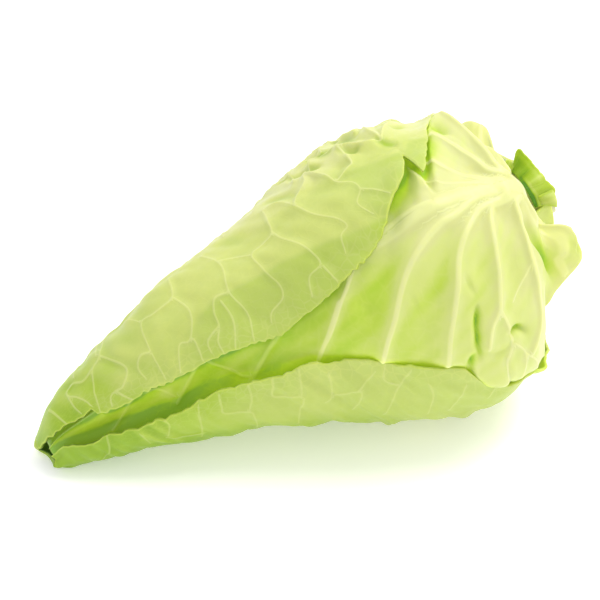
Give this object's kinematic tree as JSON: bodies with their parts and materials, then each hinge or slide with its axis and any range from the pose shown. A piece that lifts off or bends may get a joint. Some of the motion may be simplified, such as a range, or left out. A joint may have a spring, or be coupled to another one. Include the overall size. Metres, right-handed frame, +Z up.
{
  "type": "pointed cabbage",
  "caption": "Pointed cabbage lying on its side: a big outer leaf rolled round a tapering head, a pale ribbed leaf showing at its open front, and a short cut stalk.",
  "frame": {"origin": "middle of the flat patch under the outer leaf's belly, on the surface that the head lies on", "axes": "+Z up; +X towards the cut stalk, along the head's length; the tip points to -X; -Y is the side where the outer leaf's margins meet and the second leaf shows"},
  "size_m": [0.2504, 0.1445, 0.1391],
  "materials": {
    "stalk": "moist pale green-white cut stalk",
    "heart": "satin cream-green tightly packed leaf",
    "inner_leaf": "satin yellow-green leaf with pale veins",
    "second_leaf": "satin cream-green leaf with a broad pale rib",
    "outer_leaf": "satin mid green leaf with a net of pale veins",
    "torn_leaf": "satin green torn leaf base"
  },
  "bodies": {
    "root": {"stalk": "stalk", "heart": "heart", "fourth_leaf": "inner_leaf", "third_leaf": "inner_leaf", "second_leaf": "second_leaf", "outer_leaf": "outer_leaf", "torn_leaf_stub": "torn_leaf", "small_leaf_stub": "torn_leaf"}
  },
  "joints": []
}
